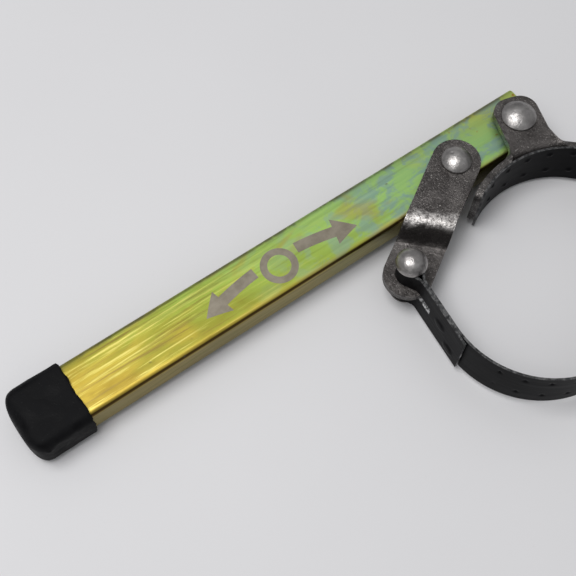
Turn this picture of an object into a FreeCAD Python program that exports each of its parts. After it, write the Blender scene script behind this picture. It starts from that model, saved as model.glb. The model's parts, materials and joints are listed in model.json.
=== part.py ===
import FreeCAD, Part
import math
import os

# Strap-type oil filter wrench, in millimetres. The origin is on the axis of the band's filter seat,
# at mid-height of the band. X runs along the handle towards its working end, Z along the rivets.

V = FreeCAD.Vector
UP = V(0, 0, 1)

# Band: one strip of spring steel on edge, bent to an oval whose round far end is the filter seat.
SEAT_RADIUS = 33.0
BAND_THICK = 0.8
BAND_WIDTH = 19.0
OVAL_STRETCH = 20.5        # between the centres of the oval's two round ends
OVAL_ANGLE = 195.6         # direction from the seat to the oval's other round end
FLEX_ANGLE = -30.0         # place of the bending stand-in, round the seat
FLEX_GAP = 0.3

# Anchor bracket: a curved back plate behind the band, with a tab above and one below the handle.
PLATE_THICK = 2.4
PLATE_HEIGHT = 17.0
PLATE_HALF_SPAN = 47.0     # degrees each side of the tabs
PLATE_CORNER = 3.0
TAB_WIDTH = 15.8
TAB_END = 8.0              # beyond the pivot
TAB_CORNER = 5.0
TAB_SLACK = 1.7            # tabs' opening beyond the tube and its clearance
FOLD_RADIUS = 2.0
PIVOT_ANGLE = 74.1         # direction of the bracket pivot from the seat
TUBE_STANDOFF = 4.3        # tube's near side beyond the back of the plate, along the tabs

# Handle: rectangular tube with a rubber cap.
TUBE_WIDTH = 20.0
TUBE_HEIGHT = 12.0
TUBE_WALL = 1.5
TUBE_CORNER = 1.8
BARE_LENGTH = 180.6
TUBE_OVERHANG = 7.4        # working end beyond the bracket pivot
PIVOT_OFFSET = 2.3         # bracket pivot off the tube's middle, towards the band
TAB_CLEARANCE = 0.3        # tube above the lower tab
CAP_DEPTH = 18.0           # tube inside the cap
CAP_WALL = 1.6
CAP_END = 3.4
CAP_BULGE = 3.0            # end of the cap seen from above, middle beyond its corners
CAP_SIDE_BULGE = 2.0       # the same, seen from the side
CAP_SIDE_ROUND = 2.4

# Link: a joggled strap from the top of the tube down to mid-height of the band.
LINK_WIDTH = 16.5
LINK_THICK = 2.5
LINK_LENGTH = 42.6
LINK_ANGLE = 211.3         # direction from the link pivot to the band pivot
LINK_PITCH = 27.8          # link pivot behind the bracket pivot
LINK_OFFSET = 3.4          # link pivot off the tube's middle, towards the band
CREST_MARGIN = 0.8         # joggle beyond the tube's near side, along the link's rear edge
FOLD_TILT = 14.0           # of the joggle's fold lines, out of square, in degrees
JOGGLE_RUN = 5.6
JOGGLE_INSIDE = 1.2
LINK_LIFT = 0.2            # link above the tube

# Loop of the band around its rivet, and the doubled-back tail.
LOOP_INNER = 4.3
LOOP_NECK = 9.5            # where the two layers part, from the band pivot
TAIL_LENGTH = 31.8
SLOT_LENGTH = 14.4
SLOT_CLEARANCE = 0.35      # above and below the link in the slot

# Rivets.
BRACKET_HEAD = 6.0
BRACKET_SHANK = 3.5
LINK_HEAD = 5.2
LINK_SHANK = 3.0
BAND_HEAD = 5.2
BAND_SHANK = 3.0
HEAD_RIM = 0.5
BRACKET_DOME = 2.6
LINK_DOME = 2.6
BAND_DOME = 3.6
LOWER_HEAD = 1.2
PIVOT_CLEARANCE = 0.08
HEAD_CLEARANCE = 0.15

CURVE_OVERRUN = 2.0        # cutting tools past the faces they cut
SMALLEST_CORNER = 0.2
SAME_PLACE = 0.01          # two points this near are one


def polar(centre, radius, degrees):
    """Point at a radius and an angle from a centre, in the XY plane."""
    angle = math.radians(degrees)
    return centre + V(radius * math.cos(angle), radius * math.sin(angle), 0)


def angle_of(vector):
    """Direction of a vector in the XY plane, in degrees."""
    return math.degrees(math.atan2(vector.y, vector.x))


SEAT = V(0, 0, 0)
BAND_OUTER = SEAT_RADIUS + BAND_THICK
PLATE_OUTER = BAND_OUTER + PLATE_THICK
PIVOT_STANDOFF = TUBE_WIDTH / 2 - PIVOT_OFFSET + TUBE_STANDOFF
OVAL_CENTRE = polar(SEAT, OVAL_STRETCH, OVAL_ANGLE)
BRACKET_PIVOT = polar(SEAT, PLATE_OUTER + PIVOT_STANDOFF, PIVOT_ANGLE)
TUBE_Y = BRACKET_PIVOT.y + PIVOT_OFFSET
TUBE_END = BRACKET_PIVOT.x + TUBE_OVERHANG
CAP_RIM = TUBE_END - BARE_LENGTH
TAB_OPENING = TUBE_HEIGHT + TAB_CLEARANCE + TAB_SLACK
TUBE_BOTTOM = TAB_CLEARANCE - TAB_OPENING / 2
TUBE_TOP = TUBE_BOTTOM + TUBE_HEIGHT
LINK_PIVOT = V(BRACKET_PIVOT.x - LINK_PITCH, TUBE_Y - LINK_OFFSET, 0)
BAND_PIVOT = polar(LINK_PIVOT, LINK_LENGTH, LINK_ANGLE)
LINK_TOP_MID = TUBE_TOP + LINK_LIFT + LINK_THICK / 2
LINK_SLOPE = math.radians(LINK_ANGLE)
REAR_REACH = (LINK_OFFSET - TUBE_WIDTH / 2 + LINK_WIDTH / 2 * math.cos(LINK_SLOPE)) / math.sin(LINK_SLOPE)
CREST_LEAD = LINK_WIDTH / 2 * math.tan(math.radians(FOLD_TILT))
LINK_CREST = REAR_REACH + CREST_MARGIN - CREST_LEAD


def plan_arc(centre, inner, outer, start, end, low, high):
    """Upright curved strip between two radii, counter-clockwise from start to end degrees."""
    base = V(centre.x, centre.y, low)
    height = high - low
    sector = Part.makeCylinder(outer, height, base, UP, end - start)
    sector = sector.cut(Part.makeCylinder(inner, height, base, UP))
    sector.rotate(base, UP, start)
    return sector


def plan_plate(points, low, high):
    """Flat plate with straight edges through the points, from low to high."""
    corners = [V(point.x, point.y, low) for point in points]
    outline = Part.makePolygon(corners + corners[:1])
    return Part.Face(outline).extrude(V(0, 0, high - low))


def straight_strip(start, end, left, right, half_width):
    """Upright straight strip from start to end, between two offsets to the left of its direction."""
    along = (end - start).normalize()
    side = V(-along.y, along.x, 0)
    points = [start + side * left, end + side * left, end + side * right, start + side * right]
    return plan_plate(points, -half_width, half_width)


def joined(pieces):
    """One solid from touching pieces."""
    solid = pieces[0].multiFuse(pieces[1:])
    return solid.removeSplitter()


def upright_bore(centre, radius, low, high):
    """Cutting cylinder for a rivet hole."""
    return Part.makeCylinder(radius, high - low, V(centre.x, centre.y, low), UP)


def long_edges(solid, axis, length):
    """Edges parallel to an axis that are as long as stated."""
    found = []
    for edge in solid.Edges:
        ends = [vertex.Point for vertex in edge.Vertexes]
        if len(ends) == 2 and abs((ends[1] - ends[0]).dot(axis)) > length - SAME_PLACE:
            found.append(edge)
    return found


def edges_at(solid, places):
    """Edges of a solid whose middles are at the places."""
    found = []
    for edge in solid.Edges:
        middle = edge.valueAt((edge.FirstParameter + edge.LastParameter) / 2)
        if [place for place in places if middle.distanceToPoint(place) < SAME_PLACE]:
            found.append(edge)
    return found


def rounded_bar(x_range, width, bottom, top, corner):
    """Bar along X on the tube's middle line, with rounded long edges."""
    length = x_range[1] - x_range[0]
    bar = Part.makeBox(length, width, top - bottom, V(x_range[0], TUBE_Y - width / 2, bottom))
    return bar.makeFillet(corner, long_edges(bar, V(1, 0, 0), length))


def handle_tube():
    ends = (CAP_RIM - CAP_DEPTH, TUBE_END)
    tube = rounded_bar(ends, TUBE_WIDTH, TUBE_BOTTOM, TUBE_TOP, TUBE_CORNER)
    inner_ends = (ends[0] - CURVE_OVERRUN, ends[1] + CURVE_OVERRUN)
    bore_width = TUBE_WIDTH - 2 * TUBE_WALL
    bore_corner = max(TUBE_CORNER - TUBE_WALL, SMALLEST_CORNER)
    bore = rounded_bar(inner_ends, bore_width, TUBE_BOTTOM + TUBE_WALL, TUBE_TOP - TUBE_WALL, bore_corner)
    tube = tube.cut(bore)
    low = TUBE_BOTTOM - CURVE_OVERRUN
    high = TUBE_TOP + CURVE_OVERRUN
    for pivot, shank in ((BRACKET_PIVOT, BRACKET_SHANK), (LINK_PIVOT, LINK_SHANK)):
        tube = tube.cut(upright_bore(pivot, shank + PIVOT_CLEARANCE, low, high))
    return tube


def end_dome(width, bulge, far_end, axis):
    """Everything behind a bulging end face that is curved about an axis, to trim the cap with."""
    radius = ((width / 2) ** 2 + bulge ** 2) / (2 * bulge)
    reach = 2 * TUBE_WIDTH
    middle = V(far_end + radius, TUBE_Y, (TUBE_TOP + TUBE_BOTTOM) / 2)
    dome = Part.makeCylinder(radius, 2 * reach, middle - axis * reach, axis)
    sleeve = Part.makeBox(radius + reach, 2 * reach, 2 * reach,
                          V(far_end + bulge, TUBE_Y - reach, middle.z - reach))
    return dome.fuse(sleeve)


def end_cap():
    far_end = CAP_RIM - CAP_DEPTH - CAP_END
    width = TUBE_WIDTH + 2 * CAP_WALL
    bottom = TUBE_BOTTOM - CAP_WALL
    top = TUBE_TOP + CAP_WALL
    cap = rounded_bar((far_end, CAP_RIM), width, bottom, top, CAP_SIDE_ROUND)
    cap = cap.common(end_dome(width, CAP_BULGE, far_end, UP))
    cap = cap.common(end_dome(top - bottom, CAP_SIDE_BULGE, far_end, V(0, 1, 0)))
    tube_space = (CAP_RIM - CAP_DEPTH, CAP_RIM + CURVE_OVERRUN)
    return cap.cut(rounded_bar(tube_space, TUBE_WIDTH, TUBE_BOTTOM, TUBE_TOP, TUBE_CORNER))


def tab_plan(low, high):
    """Plan of the tabs as a solid: straight sides and a rounded outer end, radial from the seat."""
    pivot_radius = PLATE_OUTER + PIVOT_STANDOFF
    root = SEAT_RADIUS / 2
    length = pivot_radius + TAB_END - root
    plan = Part.makeBox(length, TAB_WIDTH, high - low, V(root, -TAB_WIDTH / 2, low))
    corners = []
    for edge in long_edges(plan, UP, high - low):
        if edge.Vertexes[0].Point.x > pivot_radius:
            corners.append(edge)
    plan = plan.makeFillet(TAB_CORNER, corners)
    plan.rotate(SEAT, UP, PIVOT_ANGLE)
    return plan


def clevis_profile():
    """Half-plane section of the back and both tabs, with rounded folds."""
    inside = TAB_OPENING / 2
    outside = inside + PLATE_THICK
    back = BAND_OUTER
    tab_reach = PLATE_OUTER + PIVOT_STANDOFF + 2 * TAB_END
    fold_start = outside - FOLD_RADIUS
    fold_mid = FOLD_RADIUS * (1 - math.sqrt(0.5))
    corners = [
        V(back + FOLD_RADIUS, 0, outside),
        V(tab_reach, 0, outside),
        V(tab_reach, 0, inside),
        V(PLATE_OUTER, 0, inside),
        V(PLATE_OUTER, 0, -inside),
        V(tab_reach, 0, -inside),
        V(tab_reach, 0, -outside),
        V(back + FOLD_RADIUS, 0, -outside),
    ]
    edges = [Part.makeLine(corners[i], corners[i + 1]) for i in range(len(corners) - 1)]
    lower_mid = V(back + fold_mid, 0, -outside + fold_mid)
    upper_mid = V(back + fold_mid, 0, outside - fold_mid)
    edges.append(Part.Arc(corners[-1], lower_mid, V(back, 0, -fold_start)).toShape())
    edges.append(Part.makeLine(V(back, 0, -fold_start), V(back, 0, fold_start)))
    edges.append(Part.Arc(V(back, 0, fold_start), upper_mid, corners[0]).toShape())
    return Part.Face(Part.Wire(edges))


def plate_corner(angle, turn, level):
    """Waste outside one rounded corner of the back plate; turn and level are its two sides."""
    half_plate = PLATE_HEIGHT / 2
    depth = PLATE_THICK + 2 * CURVE_OVERRUN
    start = BAND_OUTER - CURVE_OVERRUN
    size = PLATE_CORNER + CURVE_OVERRUN
    side = min(-turn * PLATE_CORNER, turn * CURVE_OVERRUN)
    base = min(level * (half_plate - PLATE_CORNER), level * (half_plate + CURVE_OVERRUN))
    waste = Part.makeBox(depth, size, size, V(start, side, base))
    middle = V(start, -turn * PLATE_CORNER, level * (half_plate - PLATE_CORNER))
    waste = waste.cut(Part.makeCylinder(PLATE_CORNER, depth, middle, V(1, 0, 0)))
    waste.rotate(SEAT, UP, angle)
    return waste


def bracket():
    tab_high = TAB_OPENING / 2 + PLATE_THICK
    half_plate = PLATE_HEIGHT / 2
    first = PIVOT_ANGLE - PLATE_HALF_SPAN
    last = PIVOT_ANGLE + PLATE_HALF_SPAN
    plate = plan_arc(SEAT, BAND_OUTER, PLATE_OUTER, first, last, -half_plate, half_plate)
    for angle, turn in ((first, -1), (last, 1)):
        for level in (-1, 1):
            plate = plate.cut(plate_corner(angle, turn, level))
    clevis = clevis_profile().revolve(V(0, 0, 0), UP, 2 * PLATE_HALF_SPAN)
    clevis.rotate(SEAT, UP, first)
    reach = tab_high + CURVE_OVERRUN
    clevis = clevis.common(tab_plan(-reach, reach))
    solid = joined([plate, clevis])
    return solid.cut(upright_bore(BRACKET_PIVOT, BRACKET_SHANK + PIVOT_CLEARANCE, -reach, reach))


def dome(radius, rise, base, up):
    """Shallow dome on the Z axis, from a base height towards up (1 or -1)."""
    ball_radius = (radius ** 2 + rise ** 2) / (2 * rise)
    ball = Part.makeSphere(ball_radius, V(0, 0, base + up * (rise - ball_radius)))
    keep = Part.makeCylinder(2 * radius, 2 * rise, V(0, 0, base), V(0, 0, up))
    return ball.common(keep)


def dome_rivet(centre, shank, head, rise, seat, low_seat):
    """Rivet with a domed head resting on seat and a flatter formed head under low_seat."""
    low_rim = HEAD_RIM / 2
    pieces = [
        Part.makeCylinder(shank, seat - low_seat, V(0, 0, low_seat)),
        Part.makeCylinder(head, HEAD_RIM, V(0, 0, seat)),
        dome(head, rise, seat + HEAD_RIM, 1),
        Part.makeCylinder(head, low_rim, V(0, 0, low_seat - low_rim)),
        dome(head, LOWER_HEAD - low_rim, low_seat - low_rim, -1),
    ]
    rivet = joined(pieces)
    rivet.translate(V(centre.x, centre.y, 0))
    return rivet


def bracket_rivet():
    seat = TAB_OPENING / 2 + PLATE_THICK + HEAD_CLEARANCE
    return dome_rivet(BRACKET_PIVOT, BRACKET_SHANK, BRACKET_HEAD, BRACKET_DOME, seat, -seat)


def link_rivet():
    seat = LINK_TOP_MID + LINK_THICK / 2 + HEAD_CLEARANCE
    return dome_rivet(LINK_PIVOT, LINK_SHANK, LINK_HEAD, LINK_DOME, seat, TUBE_BOTTOM)


def band_rivet():
    seat = BAND_WIDTH / 2 + HEAD_CLEARANCE
    return dome_rivet(BAND_PIVOT, BAND_SHANK, BAND_HEAD, BAND_DOME, seat, -seat)


def link():
    """Joggled strap: its side profile is extruded and trimmed to a plan with round ends."""
    end_radius = LINK_WIDTH / 2
    joggle_end = LINK_CREST + JOGGLE_RUN
    far_end = LINK_LENGTH + end_radius
    half = LINK_THICK / 2
    tilt = math.atan2(LINK_TOP_MID, JOGGLE_RUN)
    mitre = half * math.tan(tilt / 2)
    top = LINK_TOP_MID
    profile = [
        V(-end_radius, 0, top + half),
        V(LINK_CREST + mitre, 0, top + half),
        V(joggle_end + mitre, 0, half),
        V(far_end, 0, half),
        V(far_end, 0, -half),
        V(joggle_end - mitre, 0, -half),
        V(LINK_CREST - mitre, 0, top - half),
        V(-end_radius, 0, top - half),
    ]
    face = Part.Face(Part.makePolygon(profile + profile[:1]))
    slant = V(-LINK_WIDTH * math.tan(math.radians(FOLD_TILT)), LINK_WIDTH, 0)
    strap = face.extrude(slant * 2)
    strap.translate(-slant)
    inside = edges_at(strap, [profile[2], profile[6]])
    strap = strap.makeFillet(JOGGLE_INSIDE, inside)
    outside = edges_at(strap, [profile[1], profile[5]])
    strap = strap.makeFillet(JOGGLE_INSIDE + half, outside)
    low = -LINK_THICK
    high = top + LINK_THICK
    plan = joined([
        upright_bore(V(0, 0, 0), end_radius, low, high),
        Part.makeBox(LINK_LENGTH, LINK_WIDTH, high - low, V(0, -end_radius, low)),
        upright_bore(V(LINK_LENGTH, 0, 0), end_radius, low, high),
    ])
    strap = strap.common(plan)
    strap = strap.cut(upright_bore(V(0, 0, 0), LINK_SHANK + PIVOT_CLEARANCE, low, high))
    strap = strap.cut(upright_bore(V(LINK_LENGTH, 0, 0), BAND_SHANK + PIVOT_CLEARANCE, low, high))
    strap.rotate(V(0, 0, 0), UP, LINK_ANGLE)
    strap.translate(V(LINK_PIVOT.x, LINK_PIVOT.y, 0))
    return strap


def flex_half_gap():
    """Half of the gap at the bending stand-in, as an angle round the seat."""
    return math.degrees(FLEX_GAP / 2 / SEAT_RADIUS)


def band_anchor_half():
    """Band from the bracket round the seat to the bending stand-in."""
    start = FLEX_ANGLE + flex_half_gap()
    end = PIVOT_ANGLE + PLATE_HALF_SPAN
    half = BAND_WIDTH / 2
    return plan_arc(SEAT, SEAT_RADIUS, BAND_OUTER, start, end, -half, half)


def band_free_half():
    """Band from the bending stand-in round the oval to the loop, with the doubled-back tail."""
    half = BAND_WIDTH / 2
    side_angle = OVAL_ANGLE + 90 - 360
    side_start = polar(SEAT, BAND_OUTER, side_angle)
    side_end = polar(OVAL_CENTRE, BAND_OUTER, side_angle)
    reach = BAND_PIVOT - OVAL_CENTRE
    leave_angle = angle_of(reach) + math.degrees(math.acos(BAND_OUTER / reach.Length))
    leave = polar(OVAL_CENTRE, BAND_OUTER, leave_angle)
    down = (leave - BAND_PIVOT).normalize()
    outward = V(down.y, -down.x, 0)
    neck = BAND_PIVOT + down * LOOP_NECK
    tail_end = BAND_PIVOT + down * TAIL_LENGTH
    loop_mid = LOOP_INNER + BAND_THICK / 2
    layer = outward * (BAND_THICK / 2)
    pieces = [
        plan_arc(SEAT, SEAT_RADIUS, BAND_OUTER, side_angle, FLEX_ANGLE - flex_half_gap(), -half, half),
        straight_strip(side_end, side_start, 0, BAND_THICK, half),
        plan_arc(OVAL_CENTRE, SEAT_RADIUS, BAND_OUTER, leave_angle, side_angle + 360, -half, half),
        straight_strip(neck, leave, 0, BAND_THICK, half),
        straight_strip(neck, tail_end, -BAND_THICK, 0, half),
    ]
    spread = math.degrees(math.acos((loop_mid - BAND_THICK / 2) / LOOP_NECK))
    down_angle = angle_of(down)
    for side in (1, -1):
        foot = neck - layer * side
        touch = polar(BAND_PIVOT, loop_mid, down_angle + side * spread)
        pieces.append(straight_strip(foot, touch, -BAND_THICK / 2, BAND_THICK / 2, half))
        pieces.append(upright_bore(foot, BAND_THICK / 2, -half, half))
        pieces.append(upright_bore(touch, BAND_THICK / 2, -half, half))
    pieces.append(plan_arc(BAND_PIVOT, LOOP_INNER, LOOP_INNER + BAND_THICK,
                           down_angle + spread, down_angle + 360 - spread, -half, half))
    strip = joined(pieces)
    slot_half = LINK_THICK / 2 + SLOT_CLEARANCE
    slot_side = LOOP_INNER + BAND_THICK + CURVE_OVERRUN
    slot_end = BAND_PIVOT + down * SLOT_LENGTH
    slot_start = BAND_PIVOT - down * slot_side
    slot = straight_strip(slot_start, slot_end, -slot_side, slot_side, slot_half)
    return strip.cut(slot)


NODES = {
    "handle_tube": handle_tube,
    "end_cap": end_cap,
    "anchor_bracket": bracket,
    "bracket_rivet": bracket_rivet,
    "link": link,
    "link_rivet": link_rivet,
    "band_rivet": band_rivet,
    "band_anchor_half": band_anchor_half,
    "band_free_half": band_free_half,
}

os.makedirs("parts", exist_ok=True)
for name, make in NODES.items():
    shape = make()
    shape.exportStep("parts/" + name + ".step")
    box = shape.BoundBox
    print(name, len(shape.Solids), round(shape.Volume, 1), shape.isValid(),
          [round(value, 2) for value in (box.XMin, box.XMax, box.YMin, box.YMax, box.ZMin, box.ZMax)])
print("pivots", BRACKET_PIVOT, LINK_PIVOT, BAND_PIVOT)
print("flex", polar(SEAT, SEAT_RADIUS + BAND_THICK / 2, FLEX_ANGLE))
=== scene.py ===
import json
import math

import bmesh
import bpy
from mathutils import Matrix, Vector, noise


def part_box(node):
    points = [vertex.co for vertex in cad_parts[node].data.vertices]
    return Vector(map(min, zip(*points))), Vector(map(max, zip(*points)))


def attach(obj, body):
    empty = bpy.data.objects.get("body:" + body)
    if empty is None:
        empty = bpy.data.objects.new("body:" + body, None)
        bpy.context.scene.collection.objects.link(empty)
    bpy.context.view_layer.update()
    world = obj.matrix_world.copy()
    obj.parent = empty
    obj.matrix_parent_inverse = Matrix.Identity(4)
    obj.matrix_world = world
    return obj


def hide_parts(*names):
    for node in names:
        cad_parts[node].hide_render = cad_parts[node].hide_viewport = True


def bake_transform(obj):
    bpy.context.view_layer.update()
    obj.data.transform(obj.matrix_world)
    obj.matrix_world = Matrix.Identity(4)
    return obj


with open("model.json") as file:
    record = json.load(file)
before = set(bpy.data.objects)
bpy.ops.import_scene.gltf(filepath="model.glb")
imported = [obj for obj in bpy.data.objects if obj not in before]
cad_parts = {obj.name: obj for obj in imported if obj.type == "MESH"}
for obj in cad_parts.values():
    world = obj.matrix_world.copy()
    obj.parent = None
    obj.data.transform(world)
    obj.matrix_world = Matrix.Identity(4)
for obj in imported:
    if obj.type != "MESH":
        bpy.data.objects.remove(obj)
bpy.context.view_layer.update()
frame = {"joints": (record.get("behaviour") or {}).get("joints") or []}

# Shapes are worked out in millimetres in the CAD frame and written to meshes in metres.
MM = 0.001
COLLECTION = bpy.context.scene.collection


def joint_place(name):
    """Place of a joint's axis, in millimetres."""
    found = [joint for joint in frame["joints"] if joint["name"] == name][0]
    return Vector(found["pos_m"]) / MM


def node_box(name):
    low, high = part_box(name)
    return low / MM, high / MM


def smooth_step(value):
    value = min(1.0, max(0.0, value))
    return value * value * (3 - 2 * value)


def polar(centre, radius, angle):
    return Vector((centre.x + radius * math.cos(angle), centre.y + radius * math.sin(angle), 0))


TUBE_LOW, TUBE_HIGH = node_box("handle_tube")
CAP_LOW, CAP_HIGH = node_box("end_cap")
BRACKET_PIVOT = joint_place("bracket_pivot")
LINK_PIVOT = joint_place("link_pivot")
RIVET_LOW, RIVET_HIGH = node_box("band_rivet")
BAND_PIVOT = Vector(((RIVET_LOW.x + RIVET_HIGH.x) / 2, (RIVET_LOW.y + RIVET_HIGH.y) / 2, 0))
LINK_HIGH = node_box("link")[1]
LINK_START = Vector((LINK_PIVOT.x, LINK_PIVOT.y, 0))
LINK_WAY = (BAND_PIVOT - LINK_START).normalized()
LINK_SIDE = Vector((-LINK_WAY.y, LINK_WAY.x, 0))
LINK_LENGTH = (BAND_PIVOT - LINK_START).length
LINK_THICK = 2.5
LINK_HALF = 8.25
LINK_TOP = LINK_HIGH.z - LINK_THICK / 2
JOGGLE_START = 23.9        # along the link, from its pivot on the tube
JOGGLE_RUN = 7.8
FOLD_TILT = math.tan(math.radians(14))


# ---------------------------------------------------------------- materials

class Shader:
    """A Principled material with short calls for the nodes that feed it."""

    def __init__(self, name, **fixed):
        self.material = bpy.data.materials.new(name)
        self.material.use_nodes = True
        self.tree = self.material.node_tree
        self.surface = self.tree.nodes["Principled BSDF"]
        for socket, value in fixed.items():
            self.surface.inputs[socket.replace("_", " ")].default_value = value

    def put(self, socket, value):
        if isinstance(value, bpy.types.NodeSocket):
            self.tree.links.new(value, socket)
        else:
            socket.default_value = value

    def node(self, kind, inputs=(), **settings):
        made = self.tree.nodes.new(kind)
        for key, value in settings.items():
            setattr(made, key, value)
        for key, value in dict(inputs).items():
            self.put(made.inputs[key], value)
        return made

    def place(self):
        return self.node("ShaderNodeTexCoord").outputs["Object"]

    def axes(self, vector):
        return tuple(self.node("ShaderNodeSeparateXYZ", {0: vector}).outputs)

    def stretch(self, vector, scale):
        inputs = {"Vector": vector, "Scale": scale}
        return self.node("ShaderNodeMapping", inputs).outputs["Vector"]

    def noise(self, vector, scale, detail=3.0, roughness=0.55, distortion=0.0):
        inputs = {"Vector": vector, "Scale": scale, "Detail": detail,
                  "Roughness": roughness, "Distortion": distortion}
        return self.node("ShaderNodeTexNoise", inputs).outputs["Fac"]

    def cells(self, vector, scale):
        inputs = {"Vector": vector, "Scale": scale}
        return self.node("ShaderNodeTexVoronoi", inputs).outputs["Distance"]

    def spread(self, value, low, high, to_low=0.0, to_high=1.0, smooth=True):
        """The value moved from one range to another and held inside it."""
        inputs = {0: value, 1: low, 2: high, 3: to_low, 4: to_high}
        kind = "SMOOTHSTEP" if smooth else "LINEAR"
        return self.node("ShaderNodeMapRange", inputs, interpolation_type=kind).outputs[0]

    def math(self, operation, first, second=0.0):
        return self.node("ShaderNodeMath", {0: first, 1: second}, operation=operation).outputs[0]

    def mix(self, amount, first, second):
        """Two colours mixed; sockets 6 and 7 and output 2 are a mix node's colour ones."""
        inputs = {0: amount, 6: first, 7: second}
        return self.node("ShaderNodeMix", inputs, data_type="RGBA").outputs[2]

    def layer(self, colour, mask, amount, paint):
        """A colour with paint laid over it where the mask is, at most by the amount."""
        return self.mix(self.math("MULTIPLY", mask, amount), colour, paint)

    def ramp(self, value, stops):
        made = self.node("ShaderNodeValToRGB", {0: value})
        elements = made.color_ramp.elements
        while len(elements) < len(stops):
            elements.new(0.5)
        for element, (position, colour) in zip(elements, stops):
            element.position = position
            element.color = colour
        return made.outputs["Color"]

    def finish(self, colour, rough, height=None, depth=0.0):
        """Colour, roughness and a bump whose height is in metres times depth."""
        self.put(self.surface.inputs["Base Color"], colour)
        self.put(self.surface.inputs["Roughness"], rough)
        if height is not None:
            inputs = {"Height": height, "Distance": depth, "Strength": 1.0}
            bump = self.node("ShaderNodeBump", inputs).outputs["Normal"]
            self.put(self.surface.inputs["Normal"], bump)
        return self.material


def rgb(red, green, blue):
    return (red, green, blue, 1.0)


def zinc_material():
    """Yellow zinc chromate: gold at the cap, green at the working end, with draw lines and mottling; a
    painted highlight on the top face's near edge and painted shade on its far edge, sides and near corner.
    """
    sh = Shader("zinc_chromate", Metallic=0.88, Specular_IOR_Level=0.3)
    place = sh.place()
    x, y, z = sh.axes(place)
    out = sh.math("SUBTRACT", x, CAP_HIGH.x * MM)
    inset = sh.math("SUBTRACT", y, TUBE_LOW.y * MM)
    drop = sh.math("SUBTRACT", TUBE_HIGH.z * MM, z)
    lines = sh.noise(sh.stretch(place, (0.035, 1.0, 1.0)), 900.0, 4.0, 0.65)
    wide_lines = sh.noise(sh.stretch(place, (0.02, 1.0, 1.0)), 210.0, 2.0, 0.5)
    cloud = sh.noise(sh.stretch(place, (0.55, 1.0, 1.0)), 55.0, 4.0, 0.6, 0.4)
    patch = sh.noise(sh.stretch(place, (0.75, 1.0, 1.0)), 150.0, 4.0, 0.62, 0.5)
    grit = sh.noise(place, 1500.0, 3.0, 0.7)

    # the hue runs out from the cap and a little across the bar
    along = sh.spread(out, 0.0, 0.180, 0.0, 1.0, smooth=False)
    wander = sh.math("MULTIPLY", sh.math("SUBTRACT", cloud, 0.5), 0.5)
    across = sh.spread(inset, 0.0, 0.020, 0.16, -0.12, smooth=False)
    hue = sh.math("SUBTRACT", sh.math("ADD", along, wander), across)
    colour = sh.ramp(hue, [
        (0.00, rgb(0.28, 0.20, 0.030)), (0.20, rgb(0.30, 0.31, 0.045)), (0.36, rgb(0.36, 0.49, 0.088)),
        (0.50, rgb(0.40, 0.61, 0.145)), (0.66, rgb(0.40, 0.66, 0.200)), (0.82, rgb(0.37, 0.62, 0.22)),
        (1.00, rgb(0.50, 0.61, 0.16))])

    # blue-grey patches at the working end, and warm ones everywhere
    blue = sh.math("MULTIPLY", sh.spread(patch, 0.45, 0.60), sh.spread(out, 0.05, 0.13))
    colour = sh.layer(colour, blue, 0.75, rgb(0.27, 0.42, 0.41))
    warm = sh.noise(sh.stretch(place, (0.4, 1.0, 1.0)), 75.0, 3.0, 0.6, 0.6)
    colour = sh.layer(colour, sh.spread(warm, 0.54, 0.66), 0.5, rgb(0.48, 0.36, 0.055))

    # draw lines, strongest near the cap
    olive_reach = sh.spread(out, 0.03, 0.11, 0.45, 0.10)
    olive = sh.math("MULTIPLY", sh.spread(wide_lines, 0.52, 0.70), olive_reach)
    colour = sh.mix(olive, colour, rgb(0.27, 0.24, 0.07))
    drawn = sh.spread(out, 0.02, 0.10, 1.0, 0.10)
    gold = sh.math("MULTIPLY", sh.spread(lines, 0.53, 0.66), drawn)
    colour = sh.layer(colour, gold, 0.7, rgb(0.68, 0.60, 0.17))
    brown = sh.math("MULTIPLY", sh.spread(lines, 0.47, 0.34), drawn)
    colour = sh.layer(colour, brown, 0.75, rgb(0.24, 0.17, 0.045))

    # painted highlight along the top face's near edge, and painted shade along its far edge
    rim = sh.math("MULTIPLY", sh.spread(inset, 0.0025, 0.0001), sh.spread(cloud, 0.35, 0.6, 0.35, 0.9))
    colour = sh.mix(rim, colour, rgb(0.66, 0.47, 0.075))
    far_edge_shade = sh.math("MULTIPLY", sh.spread(inset, 0.0173, 0.0195), sh.spread(patch, 0.42, 0.56, 0.25, 0.9))
    colour = sh.mix(far_edge_shade, colour, rgb(0.17, 0.16, 0.075))

    rust = sh.spread(sh.noise(place, 420.0, 2.0), 0.66, 0.74)
    rust = sh.math("MULTIPLY", rust, sh.spread(out, 0.13, 0.17))
    colour = sh.layer(colour, rust, 0.8, rgb(0.42, 0.16, 0.03))

    # painted shade on the sides, and a painted shade line along the near corner
    side = sh.math("MULTIPLY", sh.spread(drop, 0.0007, 0.0023), sh.spread(lines, 0.2, 0.8, 0.72, 0.95))
    colour = sh.mix(side, colour, rgb(0.17, 0.145, 0.045))
    corner = sh.math("MULTIPLY", sh.spread(drop, 0.0019, 0.0011), sh.spread(drop, 0.0002, 0.0006))
    corner = sh.math("MULTIPLY", corner, sh.spread(inset, 0.0018, 0.0005))
    colour = sh.layer(colour, corner, 0.95, rgb(0.050, 0.026, 0.008))

    nicks = sh.spread(sh.cells(sh.stretch(place, (0.6, 1.0, 1.0)), 190.0), 0.0, 0.10, 1.0, 0.0)
    nicks = sh.math("MULTIPLY", nicks, sh.spread(cloud, 0.52, 0.62))
    colour = sh.layer(colour, nicks, 0.6, rgb(0.14, 0.13, 0.08))
    rough = sh.spread(lines, 0.2, 0.8, 0.30, 0.46)
    height = sh.math("ADD", sh.math("MULTIPLY", lines, 0.8), sh.math("MULTIPLY", grit, 0.25))
    height = sh.math("SUBTRACT", height, sh.math("MULTIPLY", nicks, 1.5))
    return sh.finish(colour, rough, height, 0.00003)


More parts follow.
